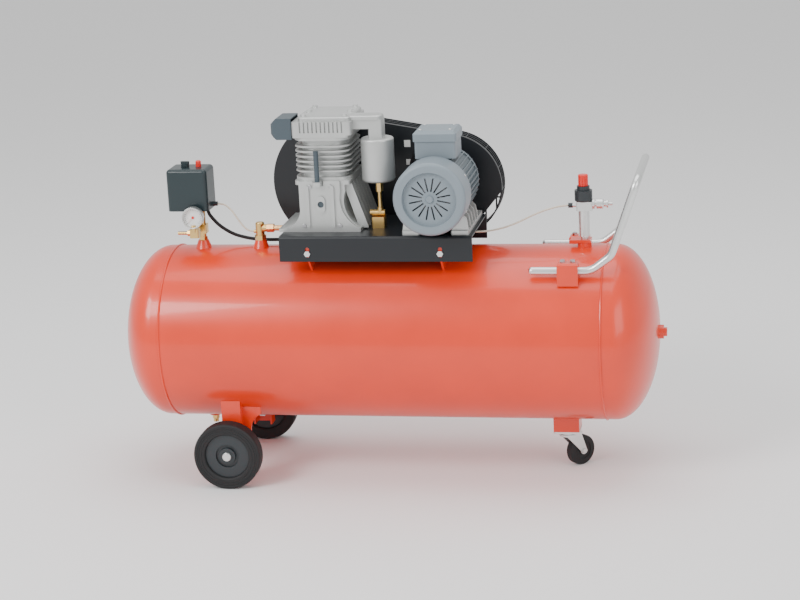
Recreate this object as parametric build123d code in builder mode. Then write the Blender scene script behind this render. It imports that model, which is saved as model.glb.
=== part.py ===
from build123d import *
from math import acos, atan2, cos, dist, pi, radians, sin, tan
import os

# Belt-driven piston air compressor on a horizontal receiver, millimetres.
# Origin on the floor under the middle of the tank, +X along the tank towards the handle,
# -Y towards the side the motor fan faces, +Z up.

os.makedirs("parts", exist_ok=True)

# Receiver
tank_r, tank_wall, tank_z = 250, 4, 410
shell_half = 628
head_straight, head_bulge, head_wall = 25, 122, 5
head_end = shell_half + head_straight + head_bulge

# Fittings along the tank top and bottom
switch_x, inlet_x, outlet_x, drain_x = -546, -374, 567, -547
boss_top = 682

# Running gear
wheel_x, wheel_r, wheel_w, wheel_face = -452, 98, 45, 246
axle_r = 10
leg_x, leg_y, leg_w, leg_d, leg_wall = -445, 172, 56, 40, 5
swivel_x, caster_r, caster_w = 505, 44, 24
caster_trail, caster_angle = 45, 45
pad_bottom = 118

# Base plate
plate_l, plate_front, plate_back, plate_top, plate_t = 549, -180, 104, 732, 4
flange_h = 72
saddle_x = (-194, 184)

# Pump
crank_x, crank_z, throw = -160, 830, 26
pin_y = (-56, 40)
case_front, case_back, case_top = -112, 86, 878
block_x, block_w, block_top = -155, 161, 1000
head_bottom, head_top, manifold_top = 1006, 1044, 1056
bore_r = 32.5
cooler_x, cooler_y, cooler_r = -3, -60, 47

# Drive
belt_y, belt_gap, belt_w, belt_h = 150, 19, 12, 8
flywheel_r, pulley_r, rim_w = 165, 56, 46
shaft_r, journal_r = 14, 15
fit = 0.05

# Motor
motor_x, motor_z = 170, 848
cover_r, cover_front, cover_back = 102, -240, -160
frame_front, frame_back, frame_r, fin_r = -160, 40, 90, 98

# Belt guard
guard_y, guard_back, guard_floor = 112, 196, 646
guard_big, guard_big_r = (crank_x, 828), 193
guard_small, guard_small_r = (166, 808), 155

along_x = Axis((0, 0, tank_z), (1, 0, 0))


def front_plane(y):
    """The plane at depth y that faces the fan side, with X to the right and Z up."""
    return Plane.XZ.offset(-y)


def belt_outline(first, first_r, second, second_r):
    """The closed run round two circles, drawn into the open line."""
    turn = atan2(second[1] - first[1], second[0] - first[0])
    spread = acos((first_r - second_r) / dist(first, second))

    def on(center, radius, angle):
        return (center[0] + radius * cos(angle), center[1] + radius * sin(angle))

    top = on(first, first_r, turn + spread), on(second, second_r, turn + spread)
    low = on(second, second_r, turn - spread), on(first, first_r, turn - spread)
    Line(*top)
    ThreePointArc(top[1], on(second, second_r, turn), low[0])
    Line(*low)
    ThreePointArc(low[1], on(first, first_r, turn + pi), top[0])


# ---------------------------------------------------------------- receiver

with BuildPart() as tank_shell:
    with BuildSketch(Plane.YZ.offset(-shell_half)):
        with Locations((0, tank_z)):
            Circle(tank_r)
            Circle(tank_r - tank_wall, mode=Mode.SUBTRACT)
    extrude(amount=2 * shell_half)
    with Locations((switch_x, 0, tank_z + tank_r), (inlet_x, 0, tank_z + tank_r)):
        Cylinder(10, 30, mode=Mode.SUBTRACT)
    with Locations((outlet_x, 0, tank_z + tank_r), (drain_x, 0, tank_z - tank_r)):
        Cylinder(10, 30, mode=Mode.SUBTRACT)
tank_shell.part.label = "tank_shell"
export_step(tank_shell.part, "parts/tank_shell.step")

with BuildPart() as tank_heads:
    with BuildSketch(Plane.XZ):
        with BuildLine():
            crown = (shell_half + head_straight, tank_z)
            outer = EllipticalCenterArc(crown, head_bulge, tank_r, arc_size=90)
            inner = EllipticalCenterArc(
                crown, head_bulge - head_wall, tank_r - head_wall, arc_size=90
            )
            Line(outer @ 0, inner @ 0)
            skirt = Line(outer @ 1, (shell_half, tank_z + tank_r))
            edge = Line(skirt @ 1, (shell_half, tank_z + tank_r - head_wall))
            Line(edge @ 1, inner @ 1)
        make_face()
    revolve(axis=along_x)
    with Locations((head_end, 0, tank_z)):
        Cylinder(20 + fit, 40, rotation=(0, 90, 0), mode=Mode.SUBTRACT)
    mirror(about=Plane.YZ)
tank_heads.part.label = "tank_heads"
export_step(tank_heads.part, "parts/tank_heads.step")

with BuildPart() as threaded_bosses:
    with Locations((switch_x, 0, boss_top - 15), (inlet_x, 0, boss_top - 15)):
        Cone(27, 15, 30)
    with Locations((outlet_x - 10, 0, boss_top - 4)):
        Box(58, 44, 8)
    with Locations((outlet_x, 0, boss_top - 16)):
        Cylinder(20, 24)
    with Locations((drain_x, 0, tank_z - tank_r)):
        Cylinder(17, 24)
    with Locations((0, 0, tank_z)):
        Cylinder(tank_r, 2 * shell_half, rotation=(0, 90, 0), mode=Mode.SUBTRACT)
    with Locations((switch_x, 0, boss_top), (inlet_x, 0, boss_top)):
        Cylinder(10, 80, mode=Mode.SUBTRACT)
    with Locations((outlet_x, 0, boss_top), (drain_x, 0, tank_z - tank_r)):
        Cylinder(10, 80, mode=Mode.SUBTRACT)
    for side in (-1, 1):
        with BuildSketch(Plane.YZ.offset(side * (head_end - 10))):
            with Locations((0, tank_z)):
                Circle(20)
                Circle(12, mode=Mode.SUBTRACT)
        extrude(amount=side * 21)
    for side in (-1, 1):
        with BuildSketch(Plane.YZ.offset(side * (head_end - 8))):
            with Locations((0, tank_z)):
                Circle(12)
        extrude(amount=side * 19)
        with BuildSketch(Plane.YZ.offset(side * (head_end + 11))):
            with Locations((0, tank_z)):
                RegularPolygon(13, 6)
        extrude(amount=side * 9)
threaded_bosses.part.label = "threaded_bosses"
export_step(threaded_bosses.part, "parts/threaded_bosses.step")

# ------------------------------------------------------------ running gear

with BuildPart() as wheel_legs:
    with BuildSketch(Plane.XY.offset(66)):
        with Locations((leg_x, -leg_y)):
            Rectangle(leg_w, leg_d)
        with Locations((leg_x, -leg_y + leg_wall)):
            Rectangle(leg_w - 2 * leg_wall, leg_d, mode=Mode.SUBTRACT)
    extrude(amount=200)
    with BuildSketch(front_plane(-leg_y + 8)):
        with BuildLine():
            right = leg_x + leg_w / 2 - 1
            Polyline((right, 260), (right, 132), (right + 26, 142))
            ThreePointArc((right + 26, 142), (right + 30, 180), (right + 56, 205))
            Polyline((right + 56, 205), (right + 56, 260), (right, 260))
        make_face()
    extrude(amount=6)
    with Locations((0, 0, tank_z)):
        Cylinder(tank_r, 2 * shell_half, rotation=(0, 90, 0), mode=Mode.SUBTRACT)
    with Locations((wheel_x, -leg_y, wheel_r)):
        Cylinder(axle_r, 100, rotation=(90, 0, 0), mode=Mode.SUBTRACT)
    mirror(about=Plane.XZ)
wheel_legs.part.label = "wheel_legs"
export_step(wheel_legs.part, "parts/wheel_legs.step")

with BuildPart() as stub_axles:
    for side in (-1, 1):
        with BuildSketch(front_plane(side * (wheel_face - 8))):
            with Locations((wheel_x, wheel_r)):
                Circle(13)
        extrude(amount=-side * 9)
        with BuildSketch(front_plane(side * (wheel_face - 8))):
            with Locations((wheel_x, wheel_r)):
                Circle(axle_r, mode=Mode.ADD)
        extrude(amount=-side * 4, mode=Mode.SUBTRACT)
    fillet(stub_axles.edges().group_by(Axis.Y)[0] + stub_axles.edges().group_by(Axis.Y)[-1], 3)
    for side in (-1, 1):
        with BuildSketch(front_plane(side * 186)):
            with Locations((wheel_x, wheel_r)):
                RegularPolygon(15, 6)
        extrude(amount=side * 12)
        with BuildSketch(front_plane(side * 180)):
            with Locations((wheel_x, wheel_r)):
                Circle(axle_r)
        extrude(amount=-side * 62)
stub_axles.part.label = "stub_axles"
export_step(stub_axles.part, "parts/stub_axles.step")


def wheel_section(y_face, depth, outer_r, inner_r, edge):
    """A ring section on the wheel's own axis, seen in the plane that holds the axis."""
    with BuildSketch(Plane.YZ.offset(wheel_x)) as section:
        with Locations((y_face + depth / 2, wheel_r + (outer_r + inner_r) / 2)):
            Rectangle(abs(depth), outer_r - inner_r)
        fillet(section.vertices().group_by(Axis.Z)[-1], edge)
    return section.sketch


wheel_axis = Axis((wheel_x, 0, wheel_r), (0, 1, 0))
tyre_inner_r, recess = 64, 10

with BuildPart() as tyre_front:
    add(wheel_section(-wheel_face, wheel_w, wheel_r, tyre_inner_r, 7))
    revolve(axis=wheel_axis)
tyre_front.part.label = "tyre_front"
export_step(tyre_front.part, "parts/tyre_front.step")

with BuildPart() as wheel_hub_front:
    add(wheel_section(-wheel_face + recess, wheel_w - 2 * recess, tyre_inner_r, 34, 0.5))
    revolve(axis=wheel_axis)
    add(wheel_section(-wheel_face + recess - 2, wheel_w - recess + 2, 24, axle_r + fit, 1))
    revolve(axis=wheel_axis)
    add(wheel_section(-wheel_face + recess + 6, wheel_w - 2 * recess - 12, 40, 20, 0.5))
    revolve(axis=wheel_axis)
wheel_hub_front.part.label = "wheel_hub_front"
export_step(wheel_hub_front.part, "parts/wheel_hub_front.step")

with BuildPart() as tyre_rear:
    mirror(tyre_front.part, about=Plane.XZ)
tyre_rear.part.label = "tyre_rear"
export_step(tyre_rear.part, "parts/tyre_rear.step")

with BuildPart() as wheel_hub_rear:
    mirror(wheel_hub_front.part, about=Plane.XZ)
wheel_hub_rear.part.label = "wheel_hub_rear"
export_step(wheel_hub_rear.part, "parts/wheel_hub_rear.step")

with BuildPart() as caster_pad:
    with BuildSketch(Plane.XY.offset(pad_bottom)):
        with Locations((swivel_x, 0)):
            Rectangle(74, 74)
            Rectangle(62, 62, mode=Mode.SUBTRACT)
    extrude(amount=60)
    with BuildSketch(Plane.XY.offset(pad_bottom)):
        with Locations((swivel_x, 0)):
            Rectangle(74, 74)
            with GridLocations(54, 54, 2, 2):
                Circle(4, mode=Mode.SUBTRACT)
            Circle(16, mode=Mode.SUBTRACT)
    extrude(amount=6)
    with Locations((0, 0, tank_z)):
        Cylinder(tank_r, 2 * shell_half, rotation=(0, 90, 0), mode=Mode.SUBTRACT)
caster_pad.part.label = "caster_pad"
export_step(caster_pad.part, "parts/caster_pad.step")

with BuildPart() as caster_plate:
    with BuildSketch(Plane.XY.offset(pad_bottom)):
        with Locations((swivel_x, 0)):
            RectangleRounded(76, 76, 8)
            with GridLocations(54, 54, 2, 2):
                Circle(4, mode=Mode.SUBTRACT)
            Circle(8 + fit, mode=Mode.SUBTRACT)
    extrude(amount=-5)
caster_plate.part.label = "caster_plate"
export_step(caster_plate.part, "parts/caster_plate.step")

trail_dir = Vector(cos(radians(caster_angle)), sin(radians(caster_angle)), 0)
trail_side = Vector(sin(radians(caster_angle)), -cos(radians(caster_angle)), 0)
fork_plane = Plane(origin=(swivel_x, 0, 0), x_dir=trail_dir, z_dir=trail_side)
fork_gap, cheek_t = caster_w / 2 + 2, 3

with BuildPart() as caster_fork:
    with BuildSketch(Plane(origin=(swivel_x, 0, 98), x_dir=trail_dir, z_dir=(0, 0, 1))):
        with Locations((10, 0)):
            RectangleRounded(62, 2 * (fork_gap + cheek_t), 4)
        Circle(25)
    extrude(amount=5)
    with BuildSketch(Plane.XY.offset(103)):
        with Locations((swivel_x, 0)):
            Circle(21)
    extrude(amount=9.4)
    with BuildSketch(Plane.XY.offset(112)):
        with Locations((swivel_x, 0)):
            Circle(8)
    extrude(amount=8)
    for side in (-1, 1):
        with BuildSketch(fork_plane.offset(side * (fork_gap + cheek_t / 2) - cheek_t / 2)):
            with BuildLine():
                Polyline((-18, 100), (36, 100), (caster_trail + 11, caster_r))
                ThreePointArc(
                    (caster_trail + 11, caster_r),
                    (caster_trail, caster_r - 11),
                    (caster_trail - 11, caster_r),
                )
                Line((caster_trail - 11, caster_r), (-18, 100))
            make_face()
        extrude(amount=cheek_t)
    with BuildSketch(fork_plane.offset(-40)):
        with Locations((caster_trail, caster_r)):
            Circle(5)
    extrude(amount=80, mode=Mode.SUBTRACT)
    with BuildSketch(fork_plane.offset(-fork_gap - cheek_t)):
        with Locations((caster_trail, caster_r)):
            Circle(5)
    extrude(amount=2 * (fork_gap + cheek_t))
    for side in (-1, 1):
        with BuildSketch(fork_plane.offset(side * (fork_gap + cheek_t))):
            with Locations((caster_trail, caster_r)):
                RegularPolygon(8, 6)
        extrude(amount=side * 5)
caster_fork.part.label = "caster_fork"
export_step(caster_fork.part, "parts/caster_fork.step")

with BuildPart() as caster_wheel:
    with BuildSketch(fork_plane.offset(-caster_w / 2)):
        with Locations((caster_trail, caster_r)):
            Circle(caster_r)
            Circle(28, mode=Mode.SUBTRACT)
    extrude(amount=caster_w)
    rim_edges = caster_wheel.edges().filter_by(GeomType.CIRCLE)
    fillet(rim_edges.sort_by(SortBy.RADIUS)[-2:], 4)
    with BuildSketch(fork_plane.offset(-caster_w / 2 + 2)):
        with Locations((caster_trail, caster_r)):
            Circle(28)
            Circle(5 + fit, mode=Mode.SUBTRACT)
    extrude(amount=caster_w - 4)
    with BuildSketch(fork_plane.offset(-fork_gap + 0.5)):
        with Locations((caster_trail, caster_r)):
            Circle(10)
            Circle(5 + fit, mode=Mode.SUBTRACT)
    extrude(amount=2 * fork_gap - 1)
caster_wheel.part.label = "caster_wheel"
export_step(caster_wheel.part, "parts/caster_wheel.step")

# -------------------------------------------------------------- base plate

with BuildPart() as base_plate:
    with BuildSketch(Plane.YZ.offset(-plate_l / 2)) as channel:
        with BuildLine():
            FilletPolyline(
                (plate_front, plate_top - flange_h),
                (plate_front, plate_top),
                (plate_back, plate_top),
                (plate_back, plate_top - flange_h),
                radius=8,
            )
            offset(amount=-plate_t, side=Side.RIGHT)
        make_face()
    extrude(amount=plate_l)
    with BuildSketch(front_plane(0)):
        with Locations(*[(x, 686) for x in saddle_x]):
            SlotOverall(30, 12, rotation=90)
    extrude(amount=300, both=True, mode=Mode.SUBTRACT)
    with Locations((-6, cooler_y, plate_top)):
        Cylinder(14, 30, mode=Mode.SUBTRACT)
    with Locations((60, 64, plate_top)):
        Cylinder(14, 30, mode=Mode.SUBTRACT)
base_plate.part.label = "base_plate"
export_step(base_plate.part, "parts/base_plate.step")

saddle_t, tab_w = 6, 46
with BuildPart() as plate_saddles:
    for x in saddle_x:
        with BuildSketch(Plane.YZ.offset(x - saddle_t / 2)):
            with BuildLine():
                Polyline(
                    (plate_front + plate_t, plate_top - flange_h + 6),
                    (plate_front + plate_t, plate_top - 12),
                    (plate_front + 12, plate_top - plate_t),
                    (plate_back - 12, plate_top - plate_t),
                    (plate_back - plate_t, plate_top - 12),
                    (plate_back - plate_t, plate_top - flange_h + 6),
                    (plate_back - 40, 560),
                    (plate_front + 70, 600),
                    close=True,
                )
            make_face()
            with Locations((0, 690)):
                Rectangle(110, 70, mode=Mode.SUBTRACT)
        extrude(amount=saddle_t)
        for y in (plate_front + plate_t, plate_back - plate_t - saddle_t):
            with Locations((x, y + saddle_t / 2, 688)):
                Box(tab_w, saddle_t, 52)
    with Locations((0, 0, tank_z)):
        Cylinder(tank_r, 2 * shell_half, rotation=(0, 90, 0), mode=Mode.SUBTRACT)
plate_saddles.part.label = "plate_saddles"
export_step(plate_saddles.part, "parts/plate_saddles.step")

# -------------------------------------------------------------------- pump

foot_left, foot_right, column_left, column_right = -286, -50, -222, -104
foot_t, flare_top = 10, 800


def bell(right_top):
    """Closed outline of the crankcase seen from the front, on the current line."""
    start = Polyline(
        (foot_left, plate_top), (foot_left, plate_top + foot_t)
    )
    left = ThreePointArc(start @ 1, (foot_left + 48, 758), (column_left, flare_top))
    top = Polyline(left @ 1, (column_left, case_top), (right_top, case_top), (right_top, 846))
    right = ThreePointArc(top @ 1, ((right_top + foot_right) / 2 - 14, 776), (foot_right, 742))
    Polyline(right @ 1, (foot_right, plate_top), start @ 0)


with BuildPart() as crankcase:
    with BuildSketch(front_plane(case_back)):
        with BuildLine():
            bell(-92)
        make_face()
    extrude(amount=case_back - case_front)
    with BuildSketch(Plane.XY.offset(case_top - 12)):
        with Locations((block_x, (case_front + case_back) / 2)):
            RectangleRounded(block_w, case_back - case_front, 12)
    extrude(amount=12)
    with BuildSketch(front_plane(case_back - 10)):
        with Locations((crank_x - 2, 806)):
            RectangleRounded(104, 130, 10)
    extrude(amount=case_back - case_front - 20, mode=Mode.SUBTRACT)
    for y in pin_y:
        with BuildSketch(Plane.XY.offset(case_top - 12)):
            with Locations((crank_x, y)):
                Circle(bore_r + 2)
        extrude(amount=20, mode=Mode.SUBTRACT)
    with BuildSketch(front_plane(0)):
        with Locations((crank_x, crank_z)):
            Circle(31)
    extrude(amount=200, both=True, mode=Mode.SUBTRACT)
    for y in range(-84, 80, 32):
        with BuildSketch(front_plane(y)):
            with BuildLine():
                Polyline((-100, 866), (-76, 866), (-34, 742), (-34, 737), (-60, 737), close=True)
            make_face()
        extrude(amount=5)
    with BuildSketch(Plane.XY.offset(case_top - 12)):
        with Locations((-166, -126)):
            RectangleRounded(26, 30, 8)
    extrude(amount=12)
crankcase.part.label = "crankcase"
export_step(crankcase.part, "parts/crankcase.step")

with BuildPart() as crankcase_cover:
    with BuildSketch(front_plane(case_front)):
        with BuildLine():
            bell(column_right)
        make_face()
        with Locations((-166, case_top)):
            Rectangle(30, 28, mode=Mode.SUBTRACT)
    extrude(amount=9)
    with BuildSketch(front_plane(case_front - 9)):
        with Locations((-160, 812)):
            SlotOverall(48, 24, rotation=90)
        with Locations((-198, 806), (-126, 806)):
            SlotOverall(120, 10, rotation=90)
    extrude(amount=6)
    with BuildSketch(front_plane(case_front - 15)):
        with Locations((-160, 812)):
            Circle(9)
    extrude(amount=-8, mode=Mode.SUBTRACT)
crankcase_cover.part.label = "crankcase_cover"
export_step(crankcase_cover.part, "parts/crankcase_cover.step")

with BuildPart() as breather_tube:
    with BuildSketch(Plane.XY.offset(case_top)):
        with Locations((-166, -128)):
            Circle(7)
            Circle(4, mode=Mode.SUBTRACT)
    extrude(amount=84)
    with BuildSketch(Plane.XY.offset(case_top + 84)):
        with Locations((-166, -128)):
            Circle(7.5)
    extrude(amount=3)
breather_tube.part.label = "breather_tube"
export_step(breather_tube.part, "parts/breather_tube.step")

block_y, block_l = (case_front + case_back) / 2, case_back - case_front
with BuildPart() as cylinder_block:
    with BuildSketch(Plane.XY.offset(case_top)):
        with Locations((block_x, block_y)):
            RectangleRounded(132, 172, 46)
    extrude(amount=block_top - case_top)
    fin_levels = [case_top, *range(case_top + 24, block_top - 20, 14), block_top - 9]
    for z in fin_levels:
        with BuildSketch(Plane.XY.offset(z)):
            with Locations((block_x, block_y)):
                RectangleRounded(block_w, block_l, 40)
        extrude(amount=9 if z in (fin_levels[0], fin_levels[-1]) else 4.5)
    with BuildSketch(Plane.XY.offset(case_top)):
        with Locations(*[(crank_x, y) for y in pin_y]):
            Circle(bore_r)
    extrude(amount=200, mode=Mode.SUBTRACT)
cylinder_block.part.label = "cylinder_block"
export_step(cylinder_block.part, "parts/cylinder_block.step")

head_w, head_l = 172, 202
pipe_r, pipe_z = 8, 716
with BuildPart() as cylinder_head:
    with BuildSketch(Plane.XY.offset(block_top)):
        with Locations((block_x, block_y)):
            RectangleRounded(162, 202, 10)
            with GridLocations(34, pin_y[1] - pin_y[0], 2, 2):
                Circle(6, mode=Mode.SUBTRACT)
    extrude(amount=head_bottom - block_top)
    with BuildSketch(Plane.XY.offset(head_bottom)):
        with Locations((block_x + 4, block_y)):
            RectangleRounded(head_w, head_l, 12)
    extrude(amount=head_top - head_bottom)
    with BuildSketch(Plane.XY.offset(head_bottom)):
        with Locations((block_x - 26, block_y), (block_x + 34, block_y)):
            Rectangle(46, 150)
    extrude(amount=26, mode=Mode.SUBTRACT)
    for side in (-1, 1):
        with BuildSketch(Plane.XY.offset(head_bottom + 8)):
            with Locations((block_x + 4, block_y + side * head_l / 2)):
                with GridLocations(12, 0, 11, 1):
                    Rectangle(4, 12)
        extrude(amount=50, mode=Mode.SUBTRACT)
    with BuildSketch(Plane.YZ.offset(block_x + head_w / 2 + 10)):
        with Locations((cooler_y, 1029)):
            Rectangle(36, 16)
    extrude(amount=-40, mode=Mode.SUBTRACT)
    with BuildSketch(Plane.YZ.offset(block_x - head_w / 2 - 10)):
        with Locations((cooler_y, 1024)):
            Circle(12)
    extrude(amount=40, mode=Mode.SUBTRACT)
cylinder_head.part.label = "cylinder_head"
export_step(cylinder_head.part, "parts/cylinder_head.step")

head_right = block_x + 4 + head_w / 2
with BuildPart() as discharge_manifold:
    with BuildSketch(Plane.XY.offset(head_top)):
        with Locations((block_x + 10, block_y)):
            RectangleRounded(150, 180, 14)
        with Locations((-55, cooler_y)):
            RectangleRounded(146, 56, 24)
    extrude(amount=manifold_top - head_top)
    chamfer(discharge_manifold.edges().group_by(Axis.Z)[-1], 3)
    with BuildSketch(Plane.YZ.offset(head_right)):
        with Locations((cooler_y, 1031)):
            Rectangle(46, 26)
    extrude(amount=52)
    with BuildSketch(Plane.XY.offset(991)):
        with Locations((cooler_x, cooler_y)):
            RectangleRounded(42, 46, 8)
    extrude(amount=head_top - 991)
    with BuildSketch(Plane.XY.offset(991)):
        with Locations((cooler_x, cooler_y)):
            Circle(14)
    extrude(amount=40, mode=Mode.SUBTRACT)
    with BuildSketch(Plane.YZ.offset(head_right - 1)):
        with Locations((cooler_y, 1029)):
            Rectangle(30, 12)
    extrude(amount=66, mode=Mode.SUBTRACT)
discharge_manifold.part.label = "discharge_manifold"
export_step(discharge_manifold.part, "parts/discharge_manifold.step")

filter_x = block_x + 4 - head_w / 2
with BuildPart() as air_filter:
    with BuildSketch(Plane.XY.offset(994)):
        with Locations((filter_x - 31, cooler_y)):
            Rectangle(60, 92)
    extrude(amount=60)
    chamfer(air_filter.edges().filter_by(Axis.Y).group_by(Axis.X)[0], 16)
    chamfer(air_filter.edges().filter_by(Axis.Z).group_by(Axis.X)[0], 8)
    offset(amount=-3, openings=air_filter.faces().sort_by(Axis.X)[-1])
air_filter.part.label = "air_filter"
export_step(air_filter.part, "parts/air_filter.step")

with BuildPart() as aftercooler:
    with BuildSketch(Plane.XY.offset(866)):
        with Locations((cooler_x, cooler_y)):
            Circle(cooler_r)
    extrude(amount=124)
    fillet(aftercooler.edges().group_by(Axis.Z)[0], 10)
    fillet(aftercooler.edges().group_by(Axis.Z)[-1], 6)
    with BuildSketch(Plane.XY.offset(870)):
        with Locations((cooler_x, cooler_y)):
            Circle(cooler_r - 4)
    extrude(amount=114, mode=Mode.SUBTRACT)
    with BuildSketch(Plane.XY.offset(860)):
        with Locations((cooler_x, cooler_y)):
            Circle(7)
    extrude(amount=20, mode=Mode.SUBTRACT)
    with BuildSketch(Plane.XY.offset(980)):
        with Locations((cooler_x, cooler_y)):
            Circle(14)
    extrude(amount=20, mode=Mode.SUBTRACT)
    with BuildSketch(Plane.XY.offset(989)):
        with Locations((cooler_x, cooler_y)):
            RectangleRounded(50, 54, 8)
            Circle(14, mode=Mode.SUBTRACT)
    extrude(amount=2)
aftercooler.part.label = "aftercooler"
export_step(aftercooler.part, "parts/aftercooler.step")

with BuildPart() as cooler_fittings:
    with BuildSketch(Plane.XY.offset(836)):
        with Locations((cooler_x, cooler_y)):
            RegularPolygon(11, 6)
            Circle(6, mode=Mode.SUBTRACT)
    extrude(amount=30)
    with BuildSketch(Plane.YZ.offset(-32)):
        with Locations((cooler_y, 774)):
            Circle(9)
    extrude(amount=42)
    with BuildSketch(Plane.XY.offset(774)):
        with Locations((cooler_x, cooler_y)):
            Circle(9)
    extrude(amount=16)
    with BuildSketch(Plane.XY.offset(770)):
        with Locations((cooler_x, cooler_y)):
            Circle(6)
    extrude(amount=40, mode=Mode.SUBTRACT)
    with BuildSketch(Plane.XY.offset(784)):
        with Locations((cooler_x, cooler_y)):
            Circle(6)
            Circle(4.5, mode=Mode.SUBTRACT)
    extrude(amount=72)
    with BuildSketch(Plane.XY.offset(plate_top)):
        with Locations((-8, cooler_y)):
            RectangleRounded(38, 34, 4)
        with Locations((-6, cooler_y)):
            Circle(pipe_r + 0.3, mode=Mode.SUBTRACT)
    extrude(amount=32)
cooler_fittings.part.label = "cooler_fittings"
export_step(cooler_fittings.part, "parts/cooler_fittings.step")

with BuildPart() as delivery_pipe:
    with BuildLine() as pipe_route:
        FilletPolyline(
            (-6, cooler_y, 764), (-6, cooler_y, pipe_z), (-120, 0, pipe_z), (inlet_x + 22, 0, pipe_z),
            radius=(14, 60),
        )
    with BuildSketch(Plane(origin=pipe_route.line @ 0, z_dir=pipe_route.line % 0)):
        Circle(pipe_r)
    sweep()
    with BuildSketch(Plane.YZ.offset(inlet_x + 22)):
        with Locations((0, pipe_z)):
            RegularPolygon(13, 6)
    extrude(amount=20)
delivery_pipe.part.label = "delivery_pipe"
export_step(delivery_pipe.part, "parts/delivery_pipe.step")

with BuildPart() as check_valve:
    with BuildSketch(Plane.XY.offset(boss_top - 22)):
        with Locations((inlet_x, 0)):
            Circle(10)
    extrude(amount=22)
    with BuildSketch(Plane.XY.offset(boss_top)):
        with Locations((inlet_x, 0)):
            RegularPolygon(17, 6)
    extrude(amount=14)
    with BuildSketch(Plane.XY.offset(boss_top + 14)):
        with Locations((inlet_x, 0)):
            Circle(13)
    extrude(amount=38)
    fillet(check_valve.edges().group_by(Axis.Z)[-1], 5)
    with BuildSketch(Plane.YZ.offset(inlet_x)):
        with Locations((0, pipe_z)):
            Circle(11)
    extrude(amount=22)
    with BuildSketch(Plane.YZ.offset(inlet_x - 18)):
        with Locations((0, 706)):
            Circle(5)
    extrude(amount=18)
check_valve.part.label = "check_valve"
export_step(check_valve.part, "parts/check_valve.step")

# ------------------------------------------------- crank, pistons, flywheel

crank_axis_xz = (crank_x, crank_z)
web_t, pin_r = 10, 13

with BuildPart() as crankshaft:
    with BuildSketch(front_plane(178)):
        with Locations(crank_axis_xz):
            Circle(journal_r)
    extrude(amount=284)
    for y, side in zip(pin_y, (1, -1)):
        with BuildSketch(front_plane(y + 10)):
            with Locations(crank_axis_xz):
                Rectangle(90, 80)
        extrude(amount=20, mode=Mode.SUBTRACT)
        for web_y in (y + 10 + web_t, y - 10):
            with BuildSketch(front_plane(web_y)):
                with Locations(crank_axis_xz):
                    Circle(40)
            extrude(amount=web_t)
        with BuildSketch(front_plane(y + 10)):
            with Locations((crank_x + side * throw, crank_z)):
                Circle(pin_r)
        extrude(amount=20)
    for y, side in zip(pin_y, (1, -1)):
        with BuildSketch(front_plane(y + 8)):
            with Locations((crank_x + side * throw, crank_z)):
                Circle(19)
                Circle(pin_r, mode=Mode.SUBTRACT)
        extrude(amount=16)
crankshaft.part.label = "crankshaft"
export_step(crankshaft.part, "parts/crankshaft.step")

wrist_z, wrist_r = 921, 8
with BuildPart() as connecting_rods:
    for y, side in zip(pin_y, (1, -1)):
        with BuildSketch(front_plane(y + 6)):
            with Locations((crank_x, wrist_z)):
                Circle(14)
            with BuildLine():
                Polyline(
                    (crank_x - 6, wrist_z - 8), (crank_x + 6, wrist_z - 8),
                    (crank_x + 6 + side * 12, 878), (crank_x - 6 + side * 12, 878), close=True,
                )
            make_face()
            with Locations((crank_x, wrist_z)):
                Circle(wrist_r, mode=Mode.SUBTRACT)
        extrude(amount=12)
connecting_rods.part.label = "connecting_rods"
export_step(connecting_rods.part, "parts/connecting_rods.step")

with BuildPart() as pistons:
    with BuildSketch(Plane.XY.offset(898)):
        with Locations(*[(crank_x, y) for y in pin_y]):
            Circle(bore_r - 0.2)
    extrude(amount=70)
    with BuildSketch(Plane.XY.offset(898)):
        with Locations(*[(crank_x, y) for y in pin_y]):
            Circle(bore_r - 6)
    extrude(amount=60, mode=Mode.SUBTRACT)
    for y in pin_y:
        with BuildSketch(front_plane(y)):
            with Locations((crank_x, wrist_z)):
                Circle(wrist_r)
        extrude(amount=bore_r, both=True, mode=Mode.SUBTRACT)
    for y in pin_y:
        with BuildSketch(front_plane(y)):
            with Locations((crank_x, wrist_z)):
                Circle(wrist_r)
        extrude(amount=bore_r - 4, both=True)
pistons.part.label = "pistons"
export_step(pistons.part, "parts/pistons.step")

groove_y = (belt_y - belt_gap / 2, belt_y + belt_gap / 2)


def groove_rings(center, rim_r):
    """The rings cut out of a rim for the belts, 0.4 mm clear of them on each face."""
    with BuildPart() as rings:
        for y in groove_y:
            with BuildSketch(front_plane(y + belt_w / 2 + 0.4)):
                with Locations(center):
                    Circle(rim_r + 1)
                    Circle(rim_r - belt_h - 0.4, mode=Mode.SUBTRACT)
            extrude(amount=belt_w + 0.8)
    return rings.part


flywheel_grooves = groove_rings(crank_axis_xz, flywheel_r)
pulley_grooves = groove_rings((motor_x, motor_z), pulley_r)

with BuildPart() as flywheel:
    with BuildSketch(front_plane(belt_y + rim_w / 2)):
        with Locations(crank_axis_xz):
            Circle(flywheel_r)
            Circle(flywheel_r - 22, mode=Mode.SUBTRACT)
    extrude(amount=rim_w)
    with BuildSketch(front_plane(belt_y + rim_w / 2)):
        with Locations(crank_axis_xz):
            Circle(28)
            Circle(journal_r, mode=Mode.SUBTRACT)
    extrude(amount=rim_w)
    with BuildSketch(front_plane(belt_y + 9)):
        with Locations(crank_axis_xz):
            with PolarLocations(85, 6):
                Rectangle(130, 26)
            Circle(24, mode=Mode.SUBTRACT)
    extrude(amount=14)
    add(flywheel_grooves, mode=Mode.SUBTRACT)
flywheel.part.label = "flywheel"
export_step(flywheel.part, "parts/flywheel.step")

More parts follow.
